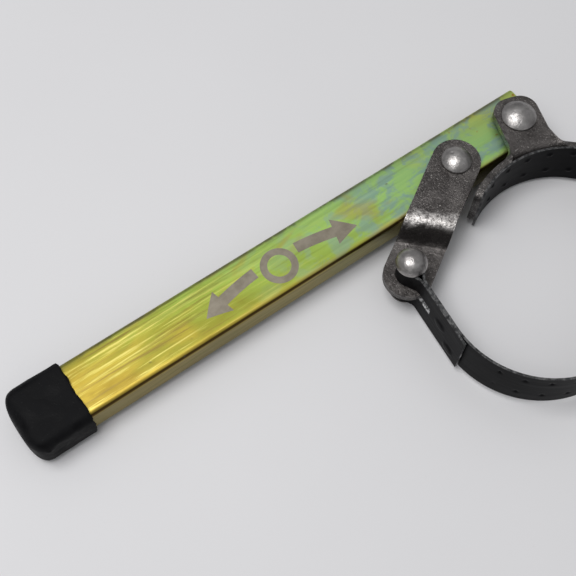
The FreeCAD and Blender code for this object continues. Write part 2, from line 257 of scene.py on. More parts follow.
def rubber_material():
    """Matt black moulded rubber with a little pale dust."""
    sh = Shader("black_rubber", Specular_IOR_Level=0.07)
    place = sh.place()
    fine = sh.noise(place, 1800.0, 4.0, 0.65)
    broad = sh.noise(place, 160.0, 3.0, 0.6, 0.6)
    dust = sh.spread(sh.noise(place, 2600.0, 1.0), 0.70, 0.78)
    black, grey = rgb(0.0030, 0.0030, 0.0035), rgb(0.0070, 0.0070, 0.0078)
    colour = sh.mix(sh.spread(broad, 0.3, 0.75), black, grey)
    colour = sh.layer(colour, dust, 0.3, rgb(0.05, 0.05, 0.05))
    rough = sh.spread(broad, 0.3, 0.7, 0.46, 0.68)
    height = sh.math("ADD", fine, sh.math("MULTIPLY", broad, 3.0))
    return sh.finish(colour, rough, height, 0.00005)


def crest_highlight_and_slope_shade(sh, place, cloud, skin, colour):
    """Painted highlight on the joggle's crest and painted shade on its slope, by the distance along the
    link.
    """
    way = LINK_WAY + LINK_SIDE * FOLD_TILT
    measured = sh.node("ShaderNodeVectorMath", {0: place, 1: way}, operation="DOT_PRODUCT")
    along = sh.math("SUBTRACT", measured.outputs["Value"], way.dot(LINK_START) * MM)
    wander = sh.math("MULTIPLY", sh.math("SUBTRACT", cloud, 0.5), 0.009)
    along = sh.math("ADD", along, wander)
    # painted highlight: pale metal laid on the crest
    crest_highlight = sh.math("MULTIPLY", sh.spread(along, 0.0200, 0.0245), sh.spread(along, 0.0282, 0.0255))
    crest_highlight = sh.math("MULTIPLY", crest_highlight, sh.spread(skin, 0.34, 0.62, 0.15, 1.0))
    patches = sh.spread(sh.noise(place, 240.0, 3.0, 0.6), 0.36, 0.60, 0.30, 1.0)
    colour = sh.mix(sh.math("MULTIPLY", crest_highlight, patches), colour, rgb(0.78, 0.745, 0.72))
    # painted shade: the slope made near black
    slope_shade = sh.math("MULTIPLY", sh.spread(along, 0.0262, 0.0280), sh.spread(along, 0.0335, 0.0305))
    return sh.layer(colour, slope_shade, 0.8, rgb(0.022, 0.019, 0.018))


def dark_steel_material(name, dark, light, rim=0.0, crest=False):
    """Blackened steel plate with a rough cast-like skin, pits and bright specks that are painted glints;
    with crest, a painted crest highlight and slope shade.
    """
    sh = Shader(name, Metallic=0.82)
    place = sh.place()
    skin = sh.noise(place, 1100.0, 5.0, 0.7)
    cloud = sh.noise(place, 130.0, 4.0, 0.6, 0.5)
    # bright specks: painted glints of the rough skin; rim adds more of them on the sheared edges
    speck = sh.spread(sh.noise(place, 2300.0, 2.0, 0.6), 0.60, 0.72)
    scratch = sh.noise(sh.stretch(place, (0.25, 1.0, 1.0)), 700.0, 3.0, 0.6)
    pits = sh.spread(sh.cells(place, 420.0), 0.02, 0.16, 1.0, 0.0)
    pits = sh.math("MULTIPLY", pits, sh.spread(cloud, 0.50, 0.66))
    colour = sh.mix(sh.spread(cloud, 0.30, 0.72), dark, light)
    colour = sh.layer(colour, speck, 0.55 + rim, rgb(0.42, 0.40, 0.38))
    colour = sh.layer(colour, sh.spread(scratch, 0.62, 0.76), 0.30, rgb(0.30, 0.28, 0.27))
    colour = sh.layer(colour, pits, 0.7, rgb(0.020, 0.017, 0.015))
    # painted highlight on the joggle's crest and painted shade on its slope
    if crest:
        colour = crest_highlight_and_slope_shade(sh, place, cloud, skin, colour)
    rough = sh.spread(skin, 0.25, 0.75, 0.24, 0.42)
    height = sh.math("SUBTRACT", sh.math("ADD", skin, sh.math("MULTIPLY", cloud, 1.2)), pits)
    return sh.finish(colour, rough, height, 0.00022)


def rivet_material():
    """Bright turned steel, dulled in patches."""
    sh = Shader("bright_steel", Metallic=1.0)
    place = sh.place()
    fine = sh.noise(place, 1300.0, 4.0, 0.65)
    cloud = sh.noise(place, 260.0, 3.0, 0.6, 0.4)
    scratch = sh.noise(sh.stretch(place, (1.0, 0.2, 1.0)), 900.0, 3.0, 0.6)
    colour = sh.mix(sh.spread(cloud, 0.3, 0.7), rgb(0.29, 0.277, 0.27), rgb(0.47, 0.452, 0.44))
    colour = sh.layer(colour, sh.spread(fine, 0.60, 0.74), 0.5, rgb(0.16, 0.15, 0.145))
    rough = sh.spread(scratch, 0.25, 0.75, 0.27, 0.46)
    height = sh.math("ADD", fine, sh.math("MULTIPLY", cloud, 2.0))
    return sh.finish(colour, rough, height, 0.00009)


def band_material():
    """Satin black spring steel; its coordinates are the strip's own, along and up."""
    sh = Shader("black_spring_steel", Metallic=0.0, Specular_IOR_Level=0.035)
    strip = sh.node("ShaderNodeUVMap", uv_map="strip").outputs["UV"]
    lines = sh.noise(sh.stretch(strip, (0.03, 1.0, 1.0)), 1100.0, 4.0, 0.6)
    cloud = sh.noise(strip, 120.0, 4.0, 0.6, 0.5)
    fine = sh.noise(strip, 2200.0, 3.0, 0.6)
    black, grey = rgb(0.0026, 0.0026, 0.0031), rgb(0.0050, 0.0050, 0.0058)
    colour = sh.mix(sh.spread(cloud, 0.3, 0.7), black, grey)
    colour = sh.layer(colour, sh.spread(lines, 0.58, 0.76), 0.3, rgb(0.018, 0.018, 0.019))
    colour = sh.layer(colour, sh.spread(fine, 0.66, 0.76), 0.3, rgb(0.05, 0.05, 0.05))
    rough = sh.spread(lines, 0.2, 0.8, 0.30, 0.48)
    height = sh.math("ADD", lines, sh.math("MULTIPLY", fine, 0.5))
    return sh.finish(colour, rough, height, 0.000012)


def edge_wear_and_highlight_material(name, light):
    """Edge metal of the given lightness: on the strip's sheared edges worn metal made lighter as a painted
    highlight, on the slot's edges a painted highlight.
    """
    sh = Shader(name, Metallic=0.9)
    wear = sh.noise(sh.stretch(sh.place(), (1.0, 1.0, 0.4)), 900.0, 4.0, 0.65)
    colour = sh.mix(sh.spread(wear, 0.35, 0.70), rgb(0.035, 0.035, 0.036), rgb(light, light, light))
    return sh.finish(colour, sh.spread(wear, 0.3, 0.7, 0.28, 0.5), wear, 0.00005)


def etched_material():
    """Grey-brown etched steel, with a trace of the gold around it."""
    sh = Shader("etched_mark", Metallic=0.6)
    place = sh.place()
    grain = sh.noise(sh.stretch(place, (0.2, 1.0, 1.0)), 1200.0, 4.0, 0.65)
    cloud = sh.noise(place, 240.0, 3.0, 0.6)
    colour = sh.mix(sh.spread(cloud, 0.3, 0.7), rgb(0.17, 0.145, 0.115), rgb(0.25, 0.22, 0.18))
    colour = sh.layer(colour, grain, 0.3, rgb(0.40, 0.36, 0.24))
    return sh.finish(colour, sh.spread(grain, 0.2, 0.8, 0.42, 0.6), grain, 0.00002)


def floor_material():
    """Pale matt table with faint clouds and specks."""
    sh = Shader("pale_table", Roughness=0.6, Specular_IOR_Level=0.2)
    place = sh.place()
    cloud = sh.noise(place, 9.0, 3.0, 0.5)
    speck = sh.spread(sh.noise(place, 900.0, 1.0), 0.74, 0.80)
    colour = sh.mix(cloud, rgb(0.655, 0.650, 0.660), rgb(0.70, 0.695, 0.705))
    colour = sh.layer(colour, speck, 0.12, rgb(0.50, 0.50, 0.50))
    return sh.finish(colour, 0.6)


# ---------------------------------------------------------------- mesh helpers

WELD = 0.002               # points this near each other are one


def new_mesh(name, points, faces, materials):
    """A piece from points in millimetres, welded, with its faces turned outward."""
    mesh = bpy.data.meshes.new(name)
    mesh.from_pydata([Vector(point) * MM for point in points], [], faces)
    mesh.validate()
    made = bmesh.new()
    made.from_mesh(mesh)
    bmesh.ops.remove_doubles(made, verts=made.verts, dist=WELD * MM)
    bmesh.ops.recalc_face_normals(made, faces=made.faces)
    made.to_mesh(mesh)
    made.free()
    for material in materials:
        mesh.materials.append(material)
    piece = bpy.data.objects.new(name, mesh)
    COLLECTION.objects.link(piece)
    return piece


def settle(piece):
    """Put the modifiers' result into the mesh."""
    graph = bpy.context.evaluated_depsgraph_get()
    mesh = bpy.data.meshes.new_from_object(
        piece.evaluated_get(graph), preserve_all_data_layers=True, depsgraph=graph)
    piece.modifiers.clear()
    piece.data = mesh


def face_outward(piece):
    made = bmesh.new()
    made.from_mesh(piece.data)
    bmesh.ops.recalc_face_normals(made, faces=made.faces)
    made.to_mesh(piece.data)
    made.free()


def shade(piece, sharp):
    """Shade smoothly, with edges sharper than an angle in degrees kept sharp."""
    for polygon in piece.data.polygons:
        polygon.use_smooth = True
    piece.data.set_sharp_from_angle(angle=math.radians(sharp))


def thicken(piece, thickness, bevel=0.0, segments=1, rim=0):
    """Give a sheet its thickness, both ways from its middle, and round its edges."""
    solid = piece.modifiers.new("thickness", "SOLIDIFY")
    solid.thickness = thickness * MM
    solid.offset = 0.0
    solid.use_even_offset = True
    solid.material_offset_rim = rim
    if bevel:
        edge = piece.modifiers.new("edge", "BEVEL")
        edge.width = bevel * MM
        edge.segments = segments
        edge.limit_method = "ANGLE"
        edge.angle_limit = math.radians(50)
    settle(piece)
    face_outward(piece)


def ring_faces(rings, count, closed=False):
    """Quads between rings of points that are numbered one ring after another."""
    faces = []
    for ring in range(rings if closed else rings - 1):
        following = (ring + 1) % rings
        here, there = ring * count, following * count
        for i in range(count):
            j = (i + 1) % count
            faces.append((here + i, here + j, there + j, there + i))
    return faces


def sheet(columns, rows, place):
    """Points and quads of a grid; place gives the point of a column and row."""
    points = [place(column, row) for row in range(rows) for column in range(columns)]
    faces = []
    for row in range(rows - 1):
        for column in range(columns - 1):
            start = row * columns + column
            faces.append((start, start + 1, start + columns + 1, start + columns))
    return points, faces


def joined(parts):
    """Several lists of points and faces as one."""
    points, faces = [], []
    for some_points, some_faces in parts:
        shift = len(points)
        points += some_points
        faces += [tuple(i + shift for i in face) for face in some_faces]
    return points, faces


def open_hole(piece, centre, radius):
    """Open a round hole in a flat part of a sheet, before it is thickened."""
    made = bmesh.new()
    made.from_mesh(piece.data)
    middle = Vector((centre.x, centre.y, 0)) * MM
    inside = [v for v in made.verts if (Vector((v.co.x, v.co.y, 0)) - middle).length < radius * MM]
    edge = {e.other_vert(v) for v in inside for e in v.link_edges} - set(inside)
    for vertex in edge:
        away = Vector((vertex.co.x, vertex.co.y, 0)) - middle
        away *= radius * MM / away.length
        vertex.co.x = middle.x + away.x
        vertex.co.y = middle.y + away.y
    bmesh.ops.delete(made, geom=inside, context="VERTS")
    made.to_mesh(piece.data)
    made.free()


def rounded_rectangle(half_width, half_height, corner, flats, arcs):
    """Points of a rounded rectangle about the origin, counter-clockwise."""
    points = []
    for quarter in range(4):
        start = quarter * math.pi / 2
        turned = quarter % 2 == 1
        reach = (half_height if turned else half_width) - corner
        rise = (half_width if turned else half_height) - corner
        for step in range(flats):
            offset = -rise + 2 * rise * step / flats
            points.append((reach + corner, offset, start))
        for step in range(arcs):
            angle = math.pi / 2 * step / arcs
            points.append((reach + corner * math.cos(angle), rise + corner * math.sin(angle), start))
    return [(a * math.cos(s) - b * math.sin(s), a * math.sin(s) + b * math.cos(s)) for a, b, s in points]


def ripple(point, scale, seed):
    """Smooth noise from -1 to 1 at a point in millimetres."""
    x, y, z = (value / scale for value in point)
    return noise.noise(Vector((x + seed, y - seed, z + 2 * seed)))


# ---------------------------------------------------------------- handle

def handle_tube(material):
    wall, corner, least_corner, edge = 1.5, 1.8, 0.4, 0.3
    flats, arcs, steps = 8, 6, 60
    centre_y = (TUBE_LOW.y + TUBE_HIGH.y) / 2
    centre_z = (TUBE_LOW.z + TUBE_HIGH.z) / 2
    half_w = (TUBE_HIGH.y - TUBE_LOW.y) / 2
    half_h = (TUBE_HIGH.z - TUBE_LOW.z) / 2
    length = TUBE_HIGH.x - TUBE_LOW.x - 2 * edge
    # each ring is a place along the tube and how far it lies inside the outer face
    outer = [(TUBE_LOW.x, edge)]
    outer += [(TUBE_LOW.x + edge + length * i / steps, 0.0) for i in range(steps + 1)]
    outer += [(TUBE_HIGH.x, edge)]
    inner = [(TUBE_HIGH.x, wall - edge / 2), (TUBE_HIGH.x - edge / 2, wall),
             (TUBE_LOW.x + edge / 2, wall), (TUBE_LOW.x, wall - edge / 2)]
    rings = outer + inner
    points = []
    for x, inset in rings:
        radius = max(corner - inset, least_corner)
        for y, z in rounded_rectangle(half_w - inset, half_h - inset, radius, flats, arcs):
            wave = 0.05 * ripple((x, y * 2, z * 2), 14.0, 3.1)
            if abs(x - TUBE_HIGH.x) < 1:
                wave += 0.10 * ripple((x, y, z), 3.0, 1.7)
            shrink = 1 - (abs(wave) + 0.02) / half_w
            points.append((x, centre_y + y * shrink, centre_z + z * shrink))
    faces = ring_faces(len(rings), len(points) // len(rings), closed=True)
    piece = new_mesh("handle_bar", points, faces, [material])
    shade(piece, 30)
    return piece


CAP_WALL = 1.66
CAP_CORNER = 3.4
CAP_BORE_CORNER = 1.7
CAP_TIP = 0.35             # first ring of the dome from the end of the CAD cap
CAP_RIM_RINGS = 7          # rings at the open end that the torn edge moves, the last one left where it is


def cap_surface():
    """Rings of the rubber cap from the tip over the outside to the rim and back inside."""
    centre = (CAP_LOW + CAP_HIGH) / 2
    half_w = (CAP_HIGH.y - CAP_LOW.y) / 2
    half_h = (CAP_HIGH.z - CAP_LOW.z) / 2
    flats, arcs = 14, 9
    dome_depth, dome_power, dome_rings, side_rings = 6.2, 2.9, 27, 18
    outline = rounded_rectangle(half_w, half_h, CAP_CORNER, flats, arcs)
    inside = rounded_rectangle(half_w - CAP_WALL, half_h - CAP_WALL, CAP_BORE_CORNER, flats, arcs)
    tip = CAP_LOW.x + CAP_TIP
    rings = []
    for step in range(dome_rings):
        size = math.sin(math.pi / 2 * (step + 0.5) / dome_rings)
        depth = dome_depth * (1 - (1 - size ** dome_power) ** (1 / dome_power))
        rings.append([(tip + depth, y * size, z * size) for y, z in outline])
    start = tip + dome_depth
    for step in range(1, side_rings + 1):
        along = start + (CAP_HIGH.x - 1.0 - start) * step / side_rings
        rings.append([(along, y, z) for y, z in outline])
    for back, narrow, flat in ((0.4, 0.995, 0.995), (0.15, 0.97, 0.965)):
        rings.append([(CAP_HIGH.x - back, y * narrow, z * flat) for y, z in outline])
    rings.append([(CAP_HIGH.x - 0.25, y, z) for y, z in inside])
    rings.append([(TUBE_LOW.x - 0.02, y, z) for y, z in inside])
    return centre, rings


def end_cap(material):
    centre, rings = cap_surface()
    count = len(rings[0])
    nub_height, nub_spread = 0.75, 0.9
    nubs = [Vector((CAP_LOW.x + 4.6, CAP_HIGH.y - 0.6, centre.z + 2.0)),
            Vector((CAP_LOW.x + 5.2, CAP_LOW.y + 0.6, centre.z + 3.5))]
    points = []
    for index, ring in enumerate(rings):
        from_end = len(rings) - index
        for x, y, z in ring:
            point = Vector((x, centre.y + y, centre.z + z))
            outward = Vector((0, y, z)).normalized()
            if from_end > 2:
                lift = 0.16 * ripple(point, 6.0, 0.4) + 0.06 * ripple(point, 1.8, 5.0) - 0.14
                for nub in nubs:
                    lift += nub_height * math.exp(-(point - nub).length_squared / nub_spread)
                point += outward * lift
            if 1 < from_end <= CAP_RIM_RINGS:
                share = (CAP_RIM_RINGS + 1 - from_end) / (CAP_RIM_RINGS - 1)
                tear = 0.75 * ripple((0, y, z), 3.2, 8.0) + 0.4 * ripple((0, y, z), 1.1, 2.0)
                point.x += share * (tear - 0.35)
            points.append(point)
    faces = ring_faces(len(rings), count)
    tip = len(points)
    points.append(Vector((CAP_LOW.x + 0.3, centre.y, centre.z)))
    faces += [(tip, (i + 1) % count, i) for i in range(count)]
    faces.append(tuple(range((len(rings) - 1) * count, len(rings) * count)))
    piece = new_mesh("rubber_cap", points, faces, [material])
    shade(piece, 50)
    return piece


def etched_mark(material):
    """A generic turning mark: a ring with an arrow curving away from it each way."""
    middle = Vector((-85.0, (TUBE_LOW.y + TUBE_HIGH.y) / 2 - 0.8, 0))
    ring_inner, ring_outer = 3.9, 6.3
    bow, rise = 90.0, 2.6
    bar_start, head_start, tip = 8.0, 22.0, 30.0
    bar_half, head_half = 1.9, 4.6
    depth = 0.06

    def ring(column, row):
        return polar(middle, ring_outer if row else ring_inner, 2 * math.pi * column / 64)

    def arrow(side, distance, offset):
        angle = distance / bow
        return Vector((middle.x + side * (bow + offset) * math.sin(angle),
                       middle.y + rise - (bow * (1 - math.cos(angle)) - offset), 0))

    parts = [sheet(65, 2, ring)]
    for side in (-1, 1):
        parts.append(sheet(25, 2, lambda column, row, side=side: arrow(
            side, bar_start + (head_start - bar_start) * column / 24, (bar_half, -bar_half)[row])))
        parts.append(sheet(9, 2, lambda column, row, side=side: arrow(
            side, head_start + (tip - head_start) * column / 8,
            (head_half, -head_half)[row] * (1 - column / 8))))
    points, faces = joined(parts)
    piece = new_mesh("turning_mark", points, faces, [material])
    thicken(piece, depth)
    for vertex in piece.data.vertices:
        vertex.co.z += (TUBE_HIGH.z - depth / 2) * MM
    return piece


# ---------------------------------------------------------------- bracket, link and rivets

PLATE = 2.4
PLATE_MID = 35.0           # radius of the middle of the curved plate
PLATE_HALF = 8.5           # half its height
PLATE_REACH = 28.7         # from the tabs' middle line to a wing's end, round the plate
PLATE_CORNER = 3.0
PIVOT_BORE = 3.58
LINK_BORE = 3.08
FOLD_START = 6.0           # height at which the plate starts to fold into a tab
FOLD_MID = 2.2             # radius of the fold's middle
FOLD_LENGTH = FOLD_MID * math.pi / 2
TAB_HALF = 7.43
TAB_FILLETS = {1: 3.6, -1: 6.5}
TAB_TOP = 28.4             # from mid-height to a tab's end, along the unrolled plate
TAB_CORNER = 5.0
PIVOT_ANGLE = math.atan2(BRACKET_PIVOT.y, BRACKET_PIVOT.x)


def bracket_point(across, up):
    """Middle of the plate at a distance round the back and a distance up its unrolled section."""
    angle = PIVOT_ANGLE + across / PLATE_MID
    radial = Vector((math.cos(angle), math.sin(angle), 0))
    tab_way = Vector((math.cos(PIVOT_ANGLE), math.sin(PIVOT_ANGLE), 0))
    height = abs(up)
    flat = radial * PLATE_MID + Vector((0, 0, height))
    beyond = height - FOLD_START
    if beyond <= 0:
        folded = flat
    elif beyond < FOLD_LENGTH:
        turn = beyond / FOLD_MID
        folded = radial * (PLATE_MID + FOLD_MID * (1 - math.cos(turn)))
        folded += Vector((0, 0, FOLD_START + FOLD_MID * math.sin(turn)))
    else:
        folded = radial * (PLATE_MID + FOLD_MID) + tab_way * (beyond - FOLD_LENGTH)
        folded += Vector((0, 0, FOLD_START + FOLD_MID))
    fillet = TAB_FILLETS[1 if across > 0 else -1]
    flat_margin = 0.4
    share = smooth_step((abs(across) - TAB_HALF - flat_margin) / (fillet - flat_margin))
    point = folded.lerp(flat, share)
    point.z *= 1 if up >= 0 else -1
    return point


def tab_half(up, side):
    """Half-width of the middle part of the unrolled plate, on one side."""
    height = abs(up)
    fillet = TAB_FILLETS[side]
    if height <= PLATE_HALF:
        return TAB_HALF + fillet
    if height < PLATE_HALF + fillet:
        return TAB_HALF + fillet - math.sqrt(fillet ** 2 - (PLATE_HALF + fillet - height) ** 2)
    corner = height - (TAB_TOP - TAB_CORNER)
    if corner > 0:
        return TAB_HALF - TAB_CORNER + math.sqrt(max(0.0, TAB_CORNER ** 2 - corner ** 2))
    return TAB_HALF


def wing_reach(up):
    """Distance round the plate from its middle line to a wing's end."""
    corner = abs(up) - (PLATE_HALF - PLATE_CORNER)
    if corner <= 0:
        return PLATE_REACH
    return PLATE_REACH - PLATE_CORNER + math.sqrt(max(0.0, PLATE_CORNER ** 2 - corner ** 2))


def bracket_levels():
    """Distances up the unrolled plate, from mid-height, at which it has a row of points."""
    levels = [1.5 * i for i in range(4)]
    levels += [FOLD_START + 0.36 * i for i in range(7)] + [PLATE_HALF]
    widest = max(TAB_FILLETS.values())
    levels += [PLATE_HALF + widest * (1 - math.cos(math.pi / 2 * i / 16)) for i in range(1, 17)]
    start = PLATE_HALF + widest
    end = TAB_TOP - TAB_CORNER
    levels += [start + (end - start) * i / 6 for i in range(1, 7)]
    levels += [end + TAB_CORNER * math.sin(math.pi / 2 * i / 9) for i in range(1, 10)]
    return sorted(set(round(level, 6) for level in levels))


def bracket(material, rim_material):
    levels = bracket_levels()
    both = [-level for level in reversed(levels[1:])] + levels
    low = [level for level in levels if level <= PLATE_HALF + WELD]
    low = [-level for level in reversed(low[1:])] + low
    parts = []
    for side in (-1, 1):
        parts.append(sheet(19, len(both), lambda column, row, side=side: bracket_point(
            side * tab_half(both[row], side) * column / 18, both[row])))
        root = TAB_HALF + TAB_FILLETS[side]
        parts.append(sheet(17, len(low), lambda column, row, side=side, root=root: bracket_point(
            side * (root + (wing_reach(low[row]) - root) * column / 16), low[row])))
    points, faces = joined(parts)
    piece = new_mesh("clevis_bracket", points, faces, [material, rim_material])
    open_hole(piece, BRACKET_PIVOT, PIVOT_BORE)
    thicken(piece, PLATE, bevel=0.5, segments=3, rim=1)
    for vertex in piece.data.vertices:
        place = vertex.co / MM
        vertex.co += vertex.normal * MM * 0.05 * ripple(place, 3.5, 6.3)
    shade(piece, 38)
    return piece


def link_point(along, across):
    """Middle of the link's plate; the joggle's folds lie a little out of square."""
    share = smooth_step((along + across * FOLD_TILT - JOGGLE_START) / JOGGLE_RUN)
    point = LINK_START + LINK_WAY * along + LINK_SIDE * across
    point.z = LINK_TOP * (1 - share)
    return point


def link_half(along):
    """Half-width of the link, round-ended and a little waisted."""
    over = max(-along, along - LINK_LENGTH, 0.0)
    waist = 0.22 * math.sin(math.pi * min(1.0, max(0.0, along / LINK_LENGTH))) ** 2
    return math.sqrt(max(0.0, LINK_HALF ** 2 - over ** 2)) - waist


def link(material, rim_material):
    steps, end_steps, half_columns = 64, 12, 11
    turns = [math.pi / 2 * i / end_steps for i in range(end_steps + 1)]
    stations = [-LINK_HALF * math.cos(turn) for turn in turns[:-1]]
    stations += [i * LINK_LENGTH / steps for i in range(steps + 1)]
    stations += [LINK_LENGTH + LINK_HALF * math.sin(turn) for turn in turns[1:]]
    points, faces = sheet(2 * half_columns + 1, len(stations), lambda column, row: link_point(
        stations[row], link_half(stations[row]) * math.sin(math.pi / 2 * (column / half_columns - 1))))
    piece = new_mesh("joggled_link", points, faces, [material, rim_material])
    open_hole(piece, LINK_PIVOT, LINK_BORE)
    open_hole(piece, BAND_PIVOT, LINK_BORE)
    thicken(piece, LINK_THICK, bevel=0.6, segments=3, rim=1)
    for vertex in piece.data.vertices:
        place = vertex.co / MM
        sink = 0.05 * ripple(place, 2.2, 4.4) - 0.03
        if vertex.normal.z > -0.2:
            vertex.co += vertex.normal * MM * sink
    shade(piece, 38)
    return piece


def dome(radius, head, rise):
    """Height above its rim's plane of a ball's cap that is as wide as the head and as high as the rise."""
    ball = (head ** 2 + rise ** 2) / (2 * rise)
    return rise - ball + math.sqrt(ball ** 2 - radius ** 2)


def rivet(name, node, material, shank, low_seat, seat, rise, pit=None):
    """Turned rivet with a domed head above seat and a low formed head under low_seat."""
    low, high = node_box(node)
    centre = (low + high) / 2
    head = (high.x - low.x) / 2
    rim, low_rim, chamfer = 0.5, 0.25, 0.12
    low_steps, top_steps, count = 8, 22, 72
    low_rise = low_seat - low_rim - low.z
    profile = []
    for step in range(1, low_steps + 1):
        radius = (head - 0.15) * step / low_steps
        profile.append((radius, low_seat - low_rim - dome(radius, head, low_rise)))
    profile += [(head, low_seat - 0.2), (head - 0.05, low_seat - 0.02), (shank, low_seat - 0.01)]
    profile += [(shank, seat + 0.01), (head - chamfer, seat + 0.01)]
    profile += [(head, seat + chamfer), (head, seat + rim - chamfer)]
    for step in range(top_steps, 0, -1):
        radius = (head - 0.1) * math.sin(math.pi / 2 * step / top_steps)
        profile.append((radius, seat + rim + dome(radius, head, rise)))
    points = []
    for radius, z in profile:
        for i in range(count):
            turn = 2 * math.pi * i / count
            point = Vector((centre.x + radius * math.cos(turn), centre.y + radius * math.sin(turn), z))
            if z > seat + rim:
                point.z += 0.07 * ripple(point, 2.6, 1.0) + 0.03 * ripple(point, 1.0, 4.0) - 0.05
                if pit:
                    gap = math.hypot(point.x - centre.x - pit[0], point.y - centre.y - pit[1])
                    point.z -= 0.35 * math.exp(-(gap / 0.45) ** 2)
            points.append(point)
    faces = ring_faces(len(profile), count)
    foot, top = len(points), len(points) + 1
    points.append(Vector((centre.x, centre.y, low.z)))
    points.append(Vector((centre.x, centre.y, seat + rim + rise - 0.06)))
    last = (len(profile) - 1) * count
    faces += [(foot, (i + 1) % count, i) for i in range(count)]
    faces += [(top, last + i, last + (i + 1) % count) for i in range(count)]
    piece = new_mesh(name, points, faces, [material])
    shade(piece, 45)
    return piece


def bracket_rivet(material):
    return rivet("bracket_pivot_rivet", "bracket_rivet", material,
                 shank=3.5, low_seat=-9.55, seat=9.55, rise=2.6)


def link_rivet(material):
    return rivet("link_pivot_rivet", "link_rivet", material,
                 shank=3.0, low_seat=TUBE_LOW.z, seat=LINK_HIGH.z + 0.15, rise=2.6, pit=(-0.6, 2.2))


def band_rivet(material):
    return rivet("band_loop_rivet", "band_rivet", material,
                 shank=3.0, low_seat=-9.65, seat=9.65, rise=3.6)


# ---------------------------------------------------------------- band

STRIP = 0.8
SEAT_MID = 33.4
SEAT_OUTER = 33.8
SEAT = Vector((0, 0, 0))
HALF_BAND = 9.5
OVAL_WAY = math.radians(195.6)
OVAL_CENTRE = polar(SEAT, 20.5, OVAL_WAY)
ANCHOR_END = PIVOT_ANGLE + math.radians(47)
# the loop's neck, the slot's end and the tail's end are measured from the band pivot
LOOP_MID = 4.1
LOOP_NECK = 6.6
SLOT_END = 14.4
TAIL_END = 31.8
SLOT_HALF = 1.6
PLAIN_RUN = 11.0           # strip without dimples beyond the tail's end
LAYER_GAP = 0.02           # half the gap between the doubled layers
STEP = 0.42                # between the path's points
SMOOTHINGS = 5
DIMPLE_PITCH = 8.2
DIMPLE_ROWS = ((5.9, 0.0), (-4.2, 0.9))      # height, and shift along the strip
TAIL_DENTS = ((19.9, 0.8), (26.2, -5.6))     # distance from the band pivot, and height


def band_path():
    """Middle line of the strip from its anchored end round the oval and the loop to the tail's end."""
    def arc(centre, radius, start, end):
        count = max(2, int(abs(end - start) * radius / STEP))
        return [polar(centre, radius, start + (end - start) * i / count) for i in range(count + 1)]

    def run(start, end):
        count = max(2, int((end - start).length / STEP))
        return [start.lerp(end, i / count) for i in range(count + 1)]

    side = OVAL_WAY - 1.5 * math.pi
    reach = BAND_PIVOT - OVAL_CENTRE
    leave_angle = math.atan2(reach.y, reach.x) + math.acos(SEAT_OUTER / reach.length) - 2 * math.pi
    leave = polar(OVAL_CENTRE, SEAT_OUTER, leave_angle)
    down = (leave - BAND_PIVOT).normalized()
    inward = Vector((-down.y, down.x, 0))
    neck = BAND_PIVOT + down * LOOP_NECK
    spread = math.acos((LOOP_MID - STRIP / 2) / LOOP_NECK)
    down_angle = math.atan2(down.y, down.x)
    touch = polar(BAND_PIVOT, LOOP_MID, down_angle + spread)
    back = polar(BAND_PIVOT, LOOP_MID, down_angle - spread)
    layer = inward * (STRIP / 2 + LAYER_GAP)
    path = arc(SEAT, SEAT_MID, ANCHOR_END, side)
    path += run(path[-1], polar(OVAL_CENTRE, SEAT_MID, side))[1:]
    path += arc(OVAL_CENTRE, SEAT_MID, side, leave_angle)[1:]
    path += run(path[-1], neck + layer)[1:]
    path += run(path[-1], touch)[1:]
    path += arc(BAND_PIVOT, LOOP_MID, down_angle + spread, down_angle + 2 * math.pi - spread)[1:]
    path += run(back, neck - layer)[1:]
    path += run(path[-1], BAND_PIVOT + down * TAIL_END - layer)[1:]
    for _ in range(SMOOTHINGS):
        inner = [(path[i - 1] + path[i] * 2 + path[i + 1]) / 4 for i in range(1, len(path) - 1)]
        path = path[:1] + inner + path[-1:]
    return path, down


def near_loop(point, down):
    """Distance from the band pivot along the doubled layers, or None away from the loop and the tail."""
    away = point - BAND_PIVOT
    along = away.dot(down)
    beside = (away - down * along).length
    reach = LOOP_MID + 1.5
    if beside > reach or along < -reach or along > TAIL_END + 1:
        return None
    return along


def dimple_depth(along, level):
    """Depth in millimetres of the small pressed dimples, at a place on the strip."""
    depth = 0.0
    for row_level, shift in DIMPLE_ROWS:
        off = (along - shift + DIMPLE_PITCH / 2) % DIMPLE_PITCH - DIMPLE_PITCH / 2
        depth += 0.50 * math.exp(-(off ** 2 + (level - row_level) ** 2) / 0.5)
    return depth


def tail_dent_depth(distance, level):
    """Depth of the tail's two oval dents, at a distance from the band pivot."""
    depth = 0.0
    for place, row_level in TAIL_DENTS:
        round_gap = ((distance - place) / 2.3) ** 2 + ((level - row_level) / 1.8) ** 2
        depth += 0.34 * math.exp(-round_gap ** 3)
    return depth


def strip_levels():
    """Heights of the strip's rows of points, closer together across the slot."""
    solid = HALF_BAND - SLOT_HALF
    levels = [-HALF_BAND + solid * i / 19 for i in range(19)]
    levels += [-SLOT_HALF + 2 * SLOT_HALF * i / 8 for i in range(9)]
    return levels + [SLOT_HALF + solid * i / 19 for i in range(1, 20)]


def strip_points(path, down, levels, travelled):
    """The strip's middle surface, with its dimples pressed inward."""
    loop_index = min(range(len(path)), key=lambda i: (path[i] - (BAND_PIVOT - down * LOOP_MID)).length)
    lap = min(gone for gone, point in zip(travelled, path) if near_loop(point, down) is not None)
    points = []
    for i, point in enumerate(path):
        way = (path[min(i + 1, len(path) - 1)] - path[max(i - 1, 0)]).normalized()
        outward = Vector((-way.y, way.x, 0))
        distance = near_loop(point, down)
        for level in levels:
            depth = 0.0
            if i > loop_index and distance is not None:
                depth = tail_dent_depth(distance, level)
            elif i <= loop_index and 6 < travelled[i] <= lap - PLAIN_RUN:
                depth = dimple_depth(travelled[i], level)
            place = point - outward * depth
            place.z = level
            points.append(place)
    return points


